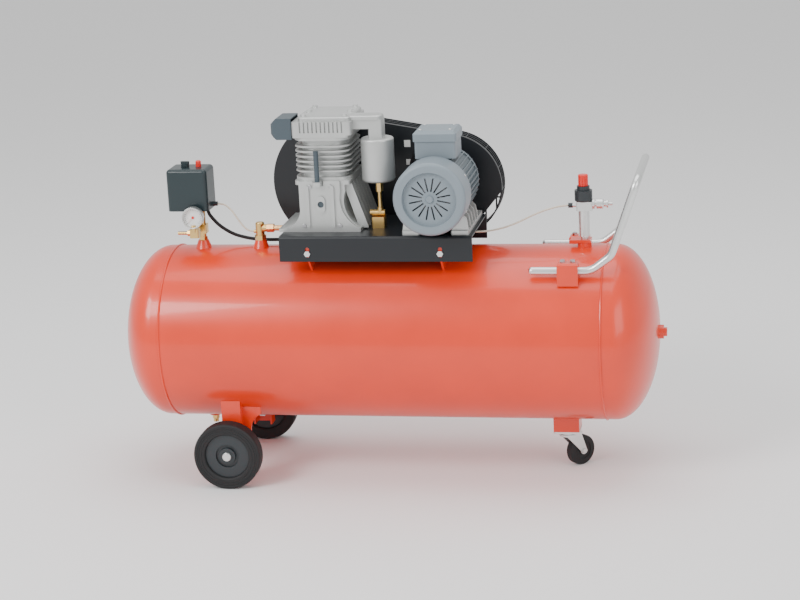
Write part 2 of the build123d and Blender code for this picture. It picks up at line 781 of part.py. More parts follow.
with BuildPart() as motor_pulley:
    with BuildSketch(front_plane(belt_y + rim_w / 2)):
        with Locations((motor_x, motor_z)):
            Circle(pulley_r)
            Circle(shaft_r, mode=Mode.SUBTRACT)
    extrude(amount=rim_w)
    add(pulley_grooves, mode=Mode.SUBTRACT)
motor_pulley.part.label = "motor_pulley"
export_step(motor_pulley.part, "parts/motor_pulley.step")

with BuildPart() as drive_belts:
    for y in groove_y:
        with BuildSketch(front_plane(y + belt_w / 2)):
            with BuildLine():
                belt_outline(crank_axis_xz, flywheel_r, (motor_x, motor_z), pulley_r)
            make_face()
            with BuildLine():
                belt_outline(crank_axis_xz, flywheel_r - belt_h, (motor_x, motor_z), pulley_r - belt_h)
            make_face(mode=Mode.SUBTRACT)
        extrude(amount=belt_w)
drive_belts.part.label = "drive_belts"
export_step(drive_belts.part, "parts/drive_belts.step")

# ------------------------------------------------------------------- motor

motor_axis_xz = (motor_x, motor_z)
core_front, core_back, core_r, rotor_r, gap = -112, -4, 85, 54, 1
box_y, box_w, box_l = -70, 115, 110

with BuildPart() as motor_housing:
    with BuildSketch(front_plane(frame_back)):
        with Locations(motor_axis_xz):
            Circle(frame_r)
            with PolarLocations((frame_r + fin_r) / 2 - 2, 40):
                Rectangle(fin_r - frame_r + 4, 3)
            Circle(core_r, mode=Mode.SUBTRACT)
    extrude(amount=frame_back - frame_front - 20)
    with BuildSketch(Plane.XY.offset(motor_z + frame_r - 6)):
        with Locations((motor_x + 2, box_y)):
            Rectangle(90, 80)
    extrude(amount=940 - motor_z - frame_r + 6)
    with BuildSketch(front_plane(frame_back)):
        with Locations(motor_axis_xz):
            Circle(core_r)
    extrude(amount=200, mode=Mode.SUBTRACT)
    with Locations((motor_x + 2, box_y, 950)):
        Box(box_w, box_l, 20, mode=Mode.SUBTRACT)
    with BuildSketch(front_plane(frame_front + 20)):
        with Locations(motor_axis_xz):
            Circle(94)
            Circle(22, mode=Mode.SUBTRACT)
    extrude(amount=12)
    with BuildSketch(front_plane(frame_back + 14)):
        with Locations(motor_axis_xz):
            Circle(94)
            Circle(22, mode=Mode.SUBTRACT)
    extrude(amount=14)
    with BuildSketch(front_plane(frame_back + 34)):
        with Locations(motor_axis_xz):
            Circle(50)
            Circle(22, mode=Mode.SUBTRACT)
    extrude(amount=20)
    chamfer(motor_housing.edges().group_by(Axis.Y)[-1], 3)
motor_housing.part.label = "motor_housing"
export_step(motor_housing.part, "parts/motor_housing.step")

with BuildPart() as bearings:
    for y in (case_front + 12, case_back):
        with BuildSketch(front_plane(y)):
            with Locations(crank_axis_xz):
                Circle(31)
                Circle(journal_r + fit, mode=Mode.SUBTRACT)
        extrude(amount=12)
    for y in (frame_front + 20, frame_back + 34):
        with BuildSketch(front_plane(y)):
            with Locations(motor_axis_xz):
                Circle(22)
                Circle(shaft_r + fit, mode=Mode.SUBTRACT)
        extrude(amount=12)
bearings.part.label = "bearings"
export_step(bearings.part, "parts/bearings.step")

with BuildPart() as stator:
    for y in (core_back + 18, core_front):
        with BuildSketch(front_plane(y)):
            with Locations(motor_axis_xz):
                Circle(core_r - 4)
                Circle(rotor_r + 6, mode=Mode.SUBTRACT)
        extrude(amount=18)
    fillet(stator.edges(), 4)
    with BuildSketch(front_plane(core_back)):
        with Locations(motor_axis_xz):
            Circle(core_r)
            Circle(rotor_r + gap, mode=Mode.SUBTRACT)
    extrude(amount=core_back - core_front)
stator.part.label = "stator"
export_step(stator.part, "parts/stator.step")

with BuildPart() as motor_rotor:
    with BuildSketch(front_plane(core_back)):
        with Locations(motor_axis_xz):
            Circle(rotor_r)
    extrude(amount=core_back - core_front)
    with BuildSketch(front_plane(belt_y + rim_w / 2 + 3)):
        with Locations(motor_axis_xz):
            Circle(shaft_r)
    extrude(amount=belt_y + rim_w / 2 + 3 + 212)
    with BuildSketch(front_plane(-178)):
        with Locations(motor_axis_xz):
            Circle(70)
            Circle(shaft_r, mode=Mode.SUBTRACT)
    extrude(amount=4)
    with BuildSketch(front_plane(-182)):
        with Locations(motor_axis_xz):
            Circle(22)
            with PolarLocations(52, 8):
                Rectangle(62, 4)
            Circle(shaft_r, mode=Mode.SUBTRACT)
    extrude(amount=26)
motor_rotor.part.label = "motor_rotor"
export_step(motor_rotor.part, "parts/motor_rotor.step")

grille_r, grille_y = 76, cover_front + 12
with BuildPart() as fan_cover:
    with BuildSketch(front_plane(cover_back + 18)):
        with Locations(motor_axis_xz):
            Circle(cover_r)
    extrude(amount=cover_back + 18 - cover_front)
    fillet(fan_cover.edges().group_by(Axis.Y)[0], 11)
    with BuildSketch(front_plane(cover_front)):
        with Locations(motor_axis_xz):
            Circle(grille_r)
    extrude(amount=-(grille_y - cover_front), taper=12, mode=Mode.SUBTRACT)
    with BuildSketch(front_plane(cover_back + 18)):
        with Locations(motor_axis_xz):
            Circle(cover_r - 2.5)
    extrude(amount=cover_back + 18 - grille_y - 3, mode=Mode.SUBTRACT)
    with BuildSketch(front_plane(grille_y + 3)):
        with Locations(motor_axis_xz):
            with PolarLocations(40, 16, start_angle=11):
                Rectangle(38, 4)
    extrude(amount=6, mode=Mode.SUBTRACT)
    with BuildSketch(front_plane(grille_y)):
        with Locations(motor_axis_xz):
            Circle(12)
    extrude(amount=5, taper=30)
fan_cover.part.label = "fan_cover"
export_step(fan_cover.part, "parts/fan_cover.step")

with BuildPart() as motor_feet:
    for side in (-1, 1):
        with BuildSketch(Plane.XY.offset(plate_top)):
            with Locations((motor_x + side * 69, -34)):
                RectangleRounded(50, 262, 5)
        extrude(amount=12)
        for y in (-150, -108, -66, -24, 18):
            with BuildSketch(front_plane(y)):
                with BuildLine():
                    Polyline(
                        (motor_x + side * 46, plate_top + 12), (motor_x + side * 93, plate_top + 12),
                        (motor_x + side * 88, 778), (motor_x + side * 66, 800),
                        (motor_x + side * 46, 780), close=True,
                    )
                make_face()
            extrude(amount=8)
    with BuildSketch(front_plane(100)):
        with Locations(motor_axis_xz):
            Circle(fin_r + 0.1)
    extrude(amount=240, mode=Mode.SUBTRACT)
    with BuildSketch(front_plane(-120)):
        with Locations(motor_axis_xz):
            Circle(cover_r + 0.4)
    extrude(amount=200, mode=Mode.SUBTRACT)
motor_feet.part.label = "motor_feet"
export_step(motor_feet.part, "parts/motor_feet.step")

with BuildPart() as hex_bolts:
    with BuildSketch(Plane.XY.offset(pad_bottom + 6)):
        with Locations((swivel_x, 0)):
            with GridLocations(54, 54, 2, 2):
                Circle(4)
    extrude(amount=-11)
    with BuildSketch(Plane.XY.offset(pad_bottom - 5)):
        with Locations((swivel_x, 0)):
            with GridLocations(54, 54, 2, 2):
                RegularPolygon(7, 6)
    extrude(amount=-4)
    for y, out in ((plate_front, -1), (plate_back, 1)):
        with BuildSketch(front_plane(y)):
            with Locations(*[(x, 683) for x in saddle_x]):
                RegularPolygon(9, 6)
        extrude(amount=-out * 5)
        with BuildSketch(front_plane(y)):
            with Locations(*[(x, 683) for x in saddle_x]):
                Circle(4.5)
        extrude(amount=out * plate_t)
    with BuildSketch(Plane.XY.offset(manifold_top)):
        with Locations((block_x + 10, block_y)):
            with GridLocations(118, 74, 2, 3):
                RegularPolygon(8, 6)
    extrude(amount=7)
    with BuildSketch(Plane.XY.offset(plate_top + 12)):
        with Locations((motor_x, 68)):
            with GridLocations(150, 0, 2, 1):
                RegularPolygon(9, 6)
    extrude(amount=7)
hex_bolts.part.label = "hex_bolts"
export_step(hex_bolts.part, "parts/hex_bolts.step")

with BuildPart() as terminal_box:
    with BuildSketch(Plane.XY.offset(940)):
        with Locations((motor_x + 2, box_y)):
            RectangleRounded(box_w, box_l, 7)
    extrude(amount=48)
    with BuildSketch(Plane.XY.offset(944)):
        with Locations((motor_x + 2, box_y)):
            RectangleRounded(box_w - 8, box_l - 8, 5)
    extrude(amount=60, mode=Mode.SUBTRACT)
    with BuildSketch(Plane.XY.offset(988)):
        with Locations((motor_x + 2, box_y)):
            RectangleRounded(box_w + 8, box_l + 8, 9)
    extrude(amount=30)
    chamfer(terminal_box.edges().group_by(Axis.Z)[-1], 9)
    with BuildSketch(Plane.XY.offset(988)):
        with Locations((motor_x + 2, box_y)):
            RectangleRounded(box_w - 8, box_l - 8, 5)
    extrude(amount=18, mode=Mode.SUBTRACT)
terminal_box.part.label = "terminal_box"
export_step(terminal_box.part, "parts/terminal_box.step")

# -------------------------------------------------------------- belt guard


def guard_outline(shrink):
    """The outline of the guard, drawn into the open line, inset by shrink."""
    belt_outline(guard_big, guard_big_r - shrink, guard_small, guard_small_r - shrink)


panel_t = 2.5
with BuildPart() as belt_guard_panel:
    with BuildSketch(front_plane(guard_y + 14)) as panel:
        with BuildLine():
            guard_outline(0)
        make_face()
        with BuildLine():
            Polyline((272, 600), (400, 600), (400, 900), (306, 779), (257, 719), (272, 719), close=True)
        make_face(mode=Mode.SUBTRACT)
        with Locations((0, guard_floor - 100)):
            Rectangle(1000, 200, mode=Mode.SUBTRACT)
    extrude(amount=14)
    with BuildSketch(front_plane(guard_y + 20)):
        with BuildLine():
            guard_outline(panel_t)
        make_face()
        with BuildLine():
            Polyline((269, 500), (400, 500), (400, 904), (303, 781), (254, 716), (269, 716), close=True)
        make_face(mode=Mode.SUBTRACT)
        with Locations((0, guard_floor + panel_t - 100)):
            Rectangle(1000, 200, mode=Mode.SUBTRACT)
    extrude(amount=20 - panel_t, mode=Mode.SUBTRACT)
    with BuildSketch(front_plane(guard_y + 20)):
        with Locations(crank_axis_xz):
            Circle(34)
        with Locations(motor_axis_xz):
            Circle(34)
            SlotCenterToCenter(40, 68)
    extrude(amount=30, mode=Mode.SUBTRACT)
belt_guard_panel.part.label = "belt_guard_panel"
export_step(belt_guard_panel.part, "parts/belt_guard_panel.step")

wire_r = 2.2
hoop_y = (136, 156, 176, guard_back)
with BuildPart() as belt_guard_grille:
    with BuildSketch(front_plane(guard_back + 2 * wire_r)):
        with Locations(((guard_big[0] + guard_small[0]) / 2, 818)):
            with GridLocations(32, 0, 21, 1):
                Rectangle(2 * wire_r, 420)
        with Locations((0, 760), (0, 880)):
            Rectangle(760, 2 * wire_r)
    extrude(amount=2 * wire_r)
    with BuildSketch(front_plane(guard_back + 10)):
        with BuildLine():
            guard_outline(3)
        make_face()
    extrude(amount=20, mode=Mode.INTERSECT)
    for y in hoop_y:
        with BuildSketch(front_plane(y + 0.2)):
            with BuildLine():
                guard_outline(2)
            make_face()
            with BuildLine():
                guard_outline(2 + 2 * wire_r)
            make_face(mode=Mode.SUBTRACT)
        extrude(amount=2 * wire_r)
    for center, radius, angles in (
        (guard_big, guard_big_r - 4.2, (95, 120, 145, 170, 195, 220)),
        (guard_small, guard_small_r - 4.2, (70, 45, 20, -5, -30)),
    ):
        for angle in angles:
            post = (center[0] + radius * cos(radians(angle)), center[1] + radius * sin(radians(angle)))
            with BuildSketch(front_plane(guard_back)):
                with Locations(post):
                    Circle(wire_r - 0.4)
            extrude(amount=guard_back - guard_y - 15)
    with Locations((0, 160, guard_floor - 300)):
        Box(1000, 160, 600.5, mode=Mode.SUBTRACT)
belt_guard_grille.part.label = "belt_guard_grille"
export_step(belt_guard_grille.part, "parts/belt_guard_grille.step")

# --------------------------------------------------- pressure switch group

case_x, case_y, case_w, case_l, case_z = -573, 2, 120, 96, 776
cover_z = case_z + 20
knob_at, button_at = (-586, 2), (-548, 8)
with BuildPart() as switch_case:
    with BuildSketch(Plane.XY.offset(case_z)):
        with Locations((case_x, case_y)):
            RectangleRounded(case_w, case_l, 12)
    extrude(amount=20)
    with BuildSketch(Plane.XY.offset(case_z)):
        with Locations((switch_x, 0)):
            Circle(10)
    extrude(amount=12, mode=Mode.SUBTRACT)
    with BuildSketch(Plane.XY.offset(cover_z)):
        with Locations((case_x, case_y)):
            RectangleRounded(case_w, case_l, 12)
    extrude(amount=102)
    fillet(switch_case.edges().group_by(Axis.Z)[-1], 11)
    with BuildSketch(Plane.XY.offset(cover_z)):
        with Locations((case_x, case_y)):
            RectangleRounded(case_w - 6, case_l - 6, 9)
    extrude(amount=98, mode=Mode.SUBTRACT)
    with BuildSketch(Plane.XY.offset(cover_z + 80)):
        with Locations(knob_at):
            Circle(5 + fit)
        with Locations(button_at):
            Circle(8.3)
    extrude(amount=40, mode=Mode.SUBTRACT)
switch_case.part.label = "switch_case"
export_step(switch_case.part, "parts/switch_case.step")

switch_top = cover_z + 102
with BuildPart() as switch_knob:
    with BuildSketch(Plane.XY.offset(switch_top - 10)):
        with Locations(knob_at):
            Circle(5)
    extrude(amount=12)
    with BuildSketch(Plane.XY.offset(switch_top + 0.5)):
        with Locations(knob_at):
            Circle(12)
    extrude(amount=8)
    with BuildSketch(Plane.XY.offset(switch_top + 8.5)):
        with Locations(knob_at):
            SlotOverall(26, 9)
    extrude(amount=8)
switch_knob.part.label = "switch_knob"
export_step(switch_knob.part, "parts/switch_knob.step")

with BuildPart() as stop_button:
    with BuildSketch(Plane.XY.offset(switch_top - 12)):
        with Locations(button_at):
            Circle(8)
    extrude(amount=30)
    fillet(stop_button.edges().group_by(Axis.Z)[-1], 5)
stop_button.part.label = "stop_button"
export_step(stop_button.part, "parts/stop_button.step")

arm_z = 716
with BuildPart() as switch_manifold:
    with BuildSketch(Plane.XY.offset(boss_top - 22)):
        with Locations((switch_x, 0)):
            Circle(10)
            Circle(5, mode=Mode.SUBTRACT)
    extrude(amount=case_z + 12 - boss_top + 22)
    with BuildSketch(Plane.XY.offset(boss_top)):
        with Locations((switch_x, 0)):
            RegularPolygon(13, 6)
            Circle(5, mode=Mode.SUBTRACT)
    extrude(amount=10)
    with BuildSketch(Plane.XY.offset(arm_z - 13)):
        with Locations((switch_x, 0)):
            RectangleRounded(28, 28, 3)
            Circle(5, mode=Mode.SUBTRACT)
        with Locations((-552, -62)):
            RectangleRounded(26, 24, 3)
    extrude(amount=26)
    with BuildSketch(front_plane(-13)):
        with Locations((-549, arm_z)):
            Circle(9)
    extrude(amount=40)
    with BuildSketch(Plane.XY.offset(case_z - 8)):
        with Locations((switch_x, 0)):
            RegularPolygon(15, 6)
            Circle(5, mode=Mode.SUBTRACT)
    extrude(amount=8)
    with BuildSketch(Plane.YZ.offset(-565)):
        with Locations((-62, arm_z)):
            RegularPolygon(9, 6)
            Circle(3, mode=Mode.SUBTRACT)
    extrude(amount=-8)
    with BuildSketch(Plane.YZ.offset(-573)):
        with Locations((-62, arm_z)):
            Circle(5)
            Circle(3, mode=Mode.SUBTRACT)
    extrude(amount=-29)
switch_manifold.part.label = "switch_manifold"
export_step(switch_manifold.part, "parts/switch_manifold.step")

gauge_x, gauge_z, gauge_r, gauge_front = -552, 764, 31, -84
with BuildPart() as gauge_needle:
    with BuildSketch(front_plane(gauge_front + 15)):
        with Locations((gauge_x, gauge_z)):
            Circle(1.5)
    extrude(amount=6)
    with BuildSketch(front_plane(gauge_front + 11)):
        with BuildLine():
            Polyline(
                (gauge_x + 1.5, gauge_z + 2), (gauge_x - 2, gauge_z - 1.5),
                (gauge_x - 15, gauge_z - 16), close=True,
            )
        make_face()
        with Locations((gauge_x, gauge_z)):
            Circle(4)
    extrude(amount=1.5)
gauge_needle.part.label = "gauge_needle"
export_step(gauge_needle.part, "parts/gauge_needle.step")

with BuildPart() as gauge_case:
    with BuildSketch(front_plane(gauge_front + 24)):
        with Locations((gauge_x, gauge_z)):
            Circle(gauge_r)
    extrude(amount=24)
    with BuildSketch(front_plane(gauge_front)):
        with Locations((gauge_x, gauge_z)):
            Circle(gauge_r - 3)
    extrude(amount=-16, mode=Mode.SUBTRACT)
    with BuildSketch(Plane.XY.offset(arm_z + 13)):
        with Locations((gauge_x, -70)):
            RegularPolygon(6, 4)
    extrude(amount=6)
    with BuildSketch(front_plane(gauge_front + 16)):
        with Locations((gauge_x, gauge_z)):
            Circle(gauge_r - 3)
            Circle(1.5 + fit, mode=Mode.SUBTRACT)
    extrude(amount=3)
    with BuildSketch(front_plane(gauge_front + 3.5)):
        with Locations((gauge_x, gauge_z)):
            Circle(gauge_r - 3)
    extrude(amount=2.5)
gauge_case.part.label = "gauge_case"
export_step(gauge_case.part, "parts/gauge_case.step")

# ------------------------------------------------------ outlet, right end

arm_top, coupler_z = 764, 782
with BuildPart() as outlet_riser:
    with BuildSketch(Plane.XY.offset(boss_top - 26)):
        with Locations((outlet_x, 0)):
            Circle(10)
            Circle(6, mode=Mode.SUBTRACT)
    extrude(amount=34)
    with BuildSketch(Plane.XY.offset(690)):
        with Locations((outlet_x, 0)):
            Circle(15.5)
            Circle(6, mode=Mode.SUBTRACT)
    extrude(amount=arm_top - 690)
    with BuildSketch(Plane.XY.offset(arm_top)):
        with Locations((outlet_x + 3, 0)):
            RectangleRounded(44, 32, 4)
    extrude(amount=26)
    with BuildSketch(Plane.YZ.offset(545)):
        with Locations((0, 778)):
            Circle(5)
    extrude(amount=-9)
outlet_riser.part.label = "outlet_riser"
export_step(outlet_riser.part, "parts/outlet_riser.step")

with BuildPart() as tube_fittings:
    with BuildSketch(Plane.YZ.offset(536)):
        with Locations((0, 778)):
            Circle(7)
    extrude(amount=-12)
    with BuildSketch(Plane.YZ.offset(-513)):
        with Locations((14, 786)):
            RegularPolygon(7, 6)
    extrude(amount=13)
    with BuildSketch(Plane.YZ.offset(258)):
        with Locations((-60, 717)):
            Rectangle(16, 22)
    extrude(amount=-14)
    with BuildSketch(front_plane(box_y + box_l / 2 + 18)):
        with Locations((132, 966)):
            Circle(10)
            RegularPolygon(11, 6)
    extrude(amount=18)
tube_fittings.part.label = "tube_fittings"
export_step(tube_fittings.part, "parts/tube_fittings.step")

with BuildPart() as regulator_body:
    with BuildSketch(Plane.XY.offset(790)):
        with Locations((outlet_x, 0)):
            Circle(25)
            Circle(4 + fit, mode=Mode.SUBTRACT)
    extrude(amount=32)
    fillet(regulator_body.edges().group_by(Axis.Z)[0].sort_by(SortBy.LENGTH)[-1], 5)
    with BuildSketch(Plane.XY.offset(822)):
        with Locations((outlet_x, 0)):
            Circle(18)
            Circle(4 + fit, mode=Mode.SUBTRACT)
    extrude(amount=12)
regulator_body.part.label = "regulator_body"
export_step(regulator_body.part, "parts/regulator_body.step")

with BuildPart() as regulator_knob:
    with BuildSketch(Plane.XY.offset(802)):
        with Locations((outlet_x, 0)):
            Circle(4)
    extrude(amount=34)
    with BuildSketch(Plane.XY.offset(834.5)):
        with Locations((outlet_x, 0)):
            Circle(14)
            with PolarLocations(14, 12):
                Circle(1.5, mode=Mode.SUBTRACT)
    extrude(amount=32)
    chamfer(regulator_knob.edges().group_by(Axis.Z)[-1], 2)
regulator_knob.part.label = "regulator_knob"
export_step(regulator_knob.part, "parts/regulator_knob.step")

collar_x, sleeve_x, body_end, tail_end = 592, 602, 632, 648
with BuildPart() as coupler_body:
    for start, end, radius in (
        (collar_x, 598, 14), (598, body_end, 8), (body_end, 636, 11), (636, tail_end, 4.5)
    ):
        with BuildSketch(Plane.YZ.offset(start)):
            with Locations((0, coupler_z)):
                Circle(radius)
                Circle(2.5, mode=Mode.SUBTRACT)
        extrude(amount=end - start)
coupler_body.part.label = "coupler_body"
export_step(coupler_body.part, "parts/coupler_body.step")

with BuildPart() as coupler_sleeve:
    with BuildSketch(Plane.YZ.offset(sleeve_x + 2)):
        with Locations((0, coupler_z)):
            Circle(14)
            Circle(8 + fit, mode=Mode.SUBTRACT)
    extrude(amount=20)
    chamfer(coupler_sleeve.edges().group_by(Axis.X)[-1].sort_by(SortBy.LENGTH)[-1], 3)
coupler_sleeve.part.label = "coupler_sleeve"
export_step(coupler_sleeve.part, "parts/coupler_sleeve.step")

# ------------------------------------------------------------------ handle

handle_y, handle_z, tube_r = 163, 629, 11
with BuildPart() as handle_tube:
    with BuildLine() as handle_route:
        FilletPolyline(
            (437, -handle_y, handle_z), (600, -handle_y, handle_z),
            (656, -handle_y, 672), (732, -handle_y, 886),
            (732, handle_y, 886), (656, handle_y, 672),
            (600, handle_y, handle_z), (437, handle_y, handle_z),
            radius=(60, 50, 32, 32, 50, 60),
        )
    with BuildSketch(Plane(origin=handle_route.line @ 0, z_dir=handle_route.line % 0)):
        Circle(tube_r)
    sweep()
    for side in (-1, 1):
        with Locations((437, side * handle_y, handle_z)):
            Sphere(tube_r)
handle_tube.part.label = "handle_tube"
export_step(handle_tube.part, "parts/handle_tube.step")

clamp_x, clamp_l, clamp_w = 536, 58, 40
with BuildPart() as handle_clamps:
    with BuildSketch(Plane.XY.offset(590)):
        with Locations((clamp_x, 0)):
            with GridLocations(0, 2 * handle_y, 1, 2):
                Rectangle(clamp_l, clamp_w)
    extrude(amount=64)
    chamfer(handle_clamps.edges().group_by(Axis.Z)[-1], 5)
    with Locations((0, 0, tank_z)):
        Cylinder(tank_r, 2 * shell_half, rotation=(0, 90, 0), mode=Mode.SUBTRACT)
    with Locations(*[(clamp_x, side * handle_y, handle_z) for side in (-1, 1)]):
        Cylinder(tube_r, 100, rotation=(0, 90, 0), mode=Mode.SUBTRACT)
handle_clamps.part.label = "handle_clamps"
export_step(handle_clamps.part, "parts/handle_clamps.step")

# -------------------------------------------------------------- drain cock

drain_top = tank_z - tank_r - 12
with BuildPart() as drain_cock:
    with BuildSketch(Plane.XY.offset(drain_top + 16)):
        with Locations((drain_x, 0)):
            Circle(10)
    extrude(amount=-16)
    with BuildSketch(Plane.XY.offset(drain_top)):
        with Locations((drain_x, 0)):
            RegularPolygon(11, 6)
            Circle(4 + fit, mode=Mode.SUBTRACT)
    extrude(amount=-12)
drain_cock.part.label = "drain_cock"
export_step(drain_cock.part, "parts/drain_cock.step")

with BuildPart() as drain_knob:
    with BuildSketch(Plane.XY.offset(drain_top - 2)):
        with Locations((drain_x, 0)):
            Circle(4)
    extrude(amount=-12)
    with BuildSketch(Plane.XY.offset(drain_top - 12.5)):
        with Locations((drain_x, 0)):
            Circle(8)
            with PolarLocations(8.5, 8):
                Circle(1.2, mode=Mode.SUBTRACT)
    extrude(amount=-10)
drain_knob.part.label = "drain_knob"
export_step(drain_knob.part, "parts/drain_knob.step")

# ------------------------------------------------------ lead and thin tubes


def bend_radii(route):
    """Bend radii that leave a tenth of each run straight, largest where the turn is slight."""
    points = [Vector(*point) for point in route]
    radii = []
    for before, corner, after in zip(points, points[1:], points[2:]):
        arriving = corner - before
        leaving = after - corner
        half_turn = radians(arriving.get_angle(leaving)) / 2
        radii.append(0.45 * min(arriving.length, leaving.length) / tan(half_turn))
    return radii


motor_lead_route = [
    (-536, 24, 775), (-532, 26, 752), (-505, 32, 716), (-464, 38, 688), (-415, 43, 674),
    (-358, 45, 670), (-300, 44, 672), (-242, 42, 676), (-184, 42, 680), (-126, 42, 681),
    (-72, 44, 684), (-20, 50, 687), (30, 57, 697), (60, 63, 728), (66, 67, 778),
    (64, 68, 835), (66, 68, 888), (84, 64, 930), (110, 48, 958), (128, 22, 966), (132, 4, 966),
]
unloader_route = [
    (-499, 14, 786), (-479, 13, 784), (-458, 10, 767), (-443, 7, 745), (-427, 4, 723),
    (-411, 1, 709), (inlet_x - 18.6, 0, 706),
]
pilot_route = [
    (523, 0, 778), (498, -7, 777), (462, -20, 770), (424, -34, 757), (388, -47, 741),
    (350, -56, 728), (312, -60, 720), (282, -61, 717), (258.6, -60, 717),
]

with BuildPart() as motor_lead:
    with BuildLine() as motor_lead_line:
        FilletPolyline(*motor_lead_route, radius=bend_radii(motor_lead_route))
    with BuildSketch(Plane(origin=motor_lead_line.line @ 0, z_dir=motor_lead_line.line % 0)):
        Circle(5)
    sweep()
motor_lead.part.label = "motor_lead"
export_step(motor_lead.part, "parts/motor_lead.step")

with BuildPart() as thin_tubes:
    for route in (unloader_route, pilot_route):
        with BuildLine(mode=Mode.PRIVATE) as tube_line:
            FilletPolyline(*route, radius=bend_radii(route))
        with BuildSketch(Plane(origin=tube_line.line @ 0, z_dir=tube_line.line % 0)):
            Circle(2.5)
        sweep(path=tube_line.line)
thin_tubes.part.label = "thin_tubes"
export_step(thin_tubes.part, "parts/thin_tubes.step")
for title, route in (
    ("motor lead", motor_lead_route), ("unloader tube", unloader_route), ("pilot tube", pilot_route)
):
    print(title, "bend radii", [round(radius) for radius in bend_radii(route)])
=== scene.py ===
import bpy
from math import cos, pi, radians, sin
from mathutils import Matrix, Vector


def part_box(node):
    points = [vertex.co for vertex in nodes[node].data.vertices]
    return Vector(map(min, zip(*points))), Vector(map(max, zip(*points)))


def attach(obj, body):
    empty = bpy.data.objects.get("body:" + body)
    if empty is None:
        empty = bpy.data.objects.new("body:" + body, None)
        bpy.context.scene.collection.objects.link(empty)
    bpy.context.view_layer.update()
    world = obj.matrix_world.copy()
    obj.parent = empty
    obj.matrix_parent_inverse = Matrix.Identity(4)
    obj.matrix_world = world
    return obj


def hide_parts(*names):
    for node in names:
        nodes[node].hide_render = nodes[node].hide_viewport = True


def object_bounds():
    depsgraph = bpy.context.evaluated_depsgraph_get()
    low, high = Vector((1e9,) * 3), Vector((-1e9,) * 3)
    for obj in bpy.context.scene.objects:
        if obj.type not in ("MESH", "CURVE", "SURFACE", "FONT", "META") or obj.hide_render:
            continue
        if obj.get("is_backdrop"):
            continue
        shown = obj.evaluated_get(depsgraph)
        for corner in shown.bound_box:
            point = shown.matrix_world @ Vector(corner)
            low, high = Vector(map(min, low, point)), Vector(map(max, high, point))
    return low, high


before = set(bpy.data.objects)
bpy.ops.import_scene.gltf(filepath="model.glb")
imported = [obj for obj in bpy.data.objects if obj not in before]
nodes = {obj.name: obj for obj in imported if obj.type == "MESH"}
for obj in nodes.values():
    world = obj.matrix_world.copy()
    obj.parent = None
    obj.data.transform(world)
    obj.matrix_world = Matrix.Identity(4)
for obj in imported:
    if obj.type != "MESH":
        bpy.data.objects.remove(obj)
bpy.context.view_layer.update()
print("frame loaded")

# camera at the eye height of someone standing 6 m in front of the machine
view = {"place": (1.1895, -5.8303, 2.0858), "yaw": 11.26, "pitch": -14.93, "roll": 2.78, "lens": 95.85}


def makeCamera(yaw, pitch, roll, place, lens):
    yaw, pitch, roll = radians(yaw), radians(pitch), radians(roll)
    ahead = Vector((-sin(yaw) * cos(pitch), cos(yaw) * cos(pitch), sin(pitch)))
    right = ahead.cross(Vector((0, 0, 1))).normalized()
    up = right.cross(ahead)
    axisX = right * cos(roll) - up * sin(roll)
    axisY = up * cos(roll) + right * sin(roll)
    bpy.ops.object.camera_add()
    camera = bpy.context.object
    turn = Matrix((axisX, axisY, -ahead)).transposed().to_4x4()
    camera.matrix_world = Matrix.Translation(place) @ turn
    camera.data.lens = lens
    camera.data.sensor_width = 36
    camera.data.clip_end = 100
    bpy.context.scene.camera = camera


makeCamera(**view)
print("camera")

# colour, how rough, grain size and depth, and where it has them how metallic and how much clear coat
finishes = {
    "redPaint": {"colour": (0.74, 0.036, 0.004), "rough": 0.3, "coat": 0.35, "grain": 9, "depth": 0.02},
    "blackPaint": {"colour": (0.005, 0.007, 0.010), "rough": 0.38, "grain": 60, "depth": 0.04},
    "motorGrey": {"colour": (0.15, 0.18, 0.20), "rough": 0.45, "grain": 240, "depth": 0.08},
    "coverGrey": {"colour": (0.19, 0.23, 0.26), "rough": 0.4, "grain": 120, "depth": 0.04},
    "castAluminium": {"colour": (0.52, 0.53, 0.52), "metal": 0.75, "rough": 0.42, "grain": 420, "depth": 0.2},
    "castIron": {"colour": (0.018, 0.019, 0.021), "rough": 0.5, "grain": 350, "depth": 0.2},
    "steel": {"colour": (0.45, 0.45, 0.46), "metal": 1, "rough": 0.32, "grain": 200, "depth": 0.03},
    "zinc": {"colour": (0.72, 0.73, 0.72), "metal": 0.9, "rough": 0.3, "grain": 90, "depth": 0.04},
    "brass": {"colour": (0.72, 0.48, 0.18), "metal": 1, "rough": 0.28, "grain": 150, "depth": 0.04},
    "copper": {"colour": (0.72, 0.42, 0.2), "metal": 1, "rough": 0.3, "grain": 80, "depth": 0.04},
    "rubber": {"colour": (0.010, 0.010, 0.011), "rough": 0.72, "grain": 500, "depth": 0.15},
    "hubPlastic": {"colour": (0.02, 0.026, 0.03), "rough": 0.4, "grain": 300, "depth": 0.06},
    "switchPlastic": {"colour": (0.012, 0.024, 0.028), "rough": 0.3, "grain": 260, "depth": 0.06},
    "filterPlastic": {"colour": (0.05, 0.07, 0.085), "rough": 0.45, "grain": 260, "depth": 0.06},
    "signalRed": {"colour": (0.72, 0.02, 0.01), "rough": 0.25, "grain": 100, "depth": 0.02},
    "paleTube": {"colour": (0.62, 0.55, 0.45), "rough": 0.4, "grain": 100, "depth": 0.02},
    "plateWhite": {"colour": (0.8, 0.8, 0.78), "rough": 0.45, "grain": 100, "depth": 0.01},
    "inkBlack": {"colour": (0.01, 0.01, 0.01), "rough": 0.5, "grain": 100, "depth": 0.01},
}


